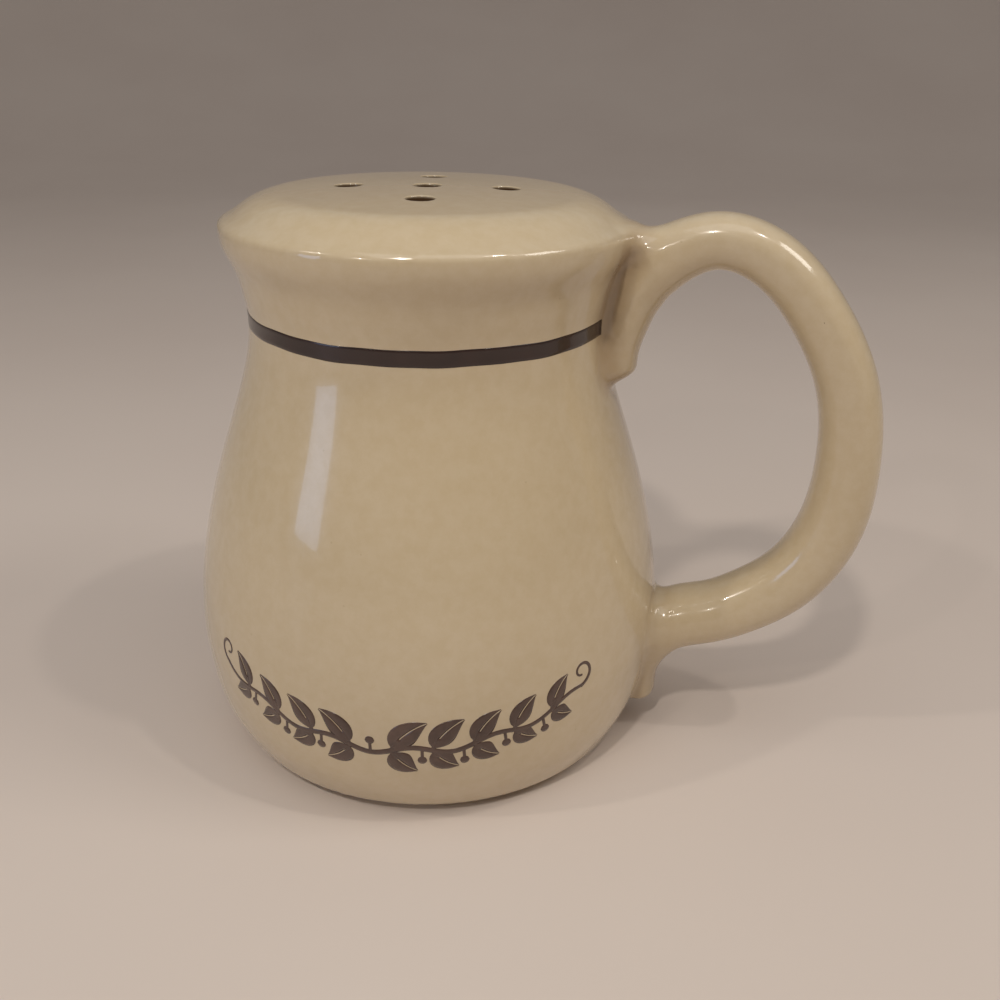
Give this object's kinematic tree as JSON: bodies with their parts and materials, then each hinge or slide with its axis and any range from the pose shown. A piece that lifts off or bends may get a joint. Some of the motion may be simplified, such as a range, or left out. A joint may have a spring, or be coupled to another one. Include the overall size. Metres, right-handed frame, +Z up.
{
  "type": "parmesan shaker",
  "caption": "Glazed ceramic cheese shaker: bellied pot with a domed sprinkle top, a loop handle, a brown neck band and a soft stopper under the base.",
  "frame": {"origin": "on the table, in the plane of the foot ring, on the axis of the pot", "axes": "+Z up along the pot's axis, +X towards the handle, +Y to the left of someone who looks along +X"},
  "size_m": [0.1474, 0.1038, 0.12],
  "materials": {
    "cream_glaze": "gloss",
    "brown_glaze": "gloss",
    "stopper_rubber": "matte"
  },
  "bodies": {
    "shaker": {"shaker_body": "cream_glaze", "handle": "cream_glaze", "neck_band": "brown_glaze"},
    "stopper": {"stopper": "stopper_rubber"}
  },
  "joints": [
    {"name": "stopper_pull", "type": "slide", "parent": "shaker", "child": "stopper", "axis": [0, 0, -1], "range_m": [0, 0.03]}
  ]
}
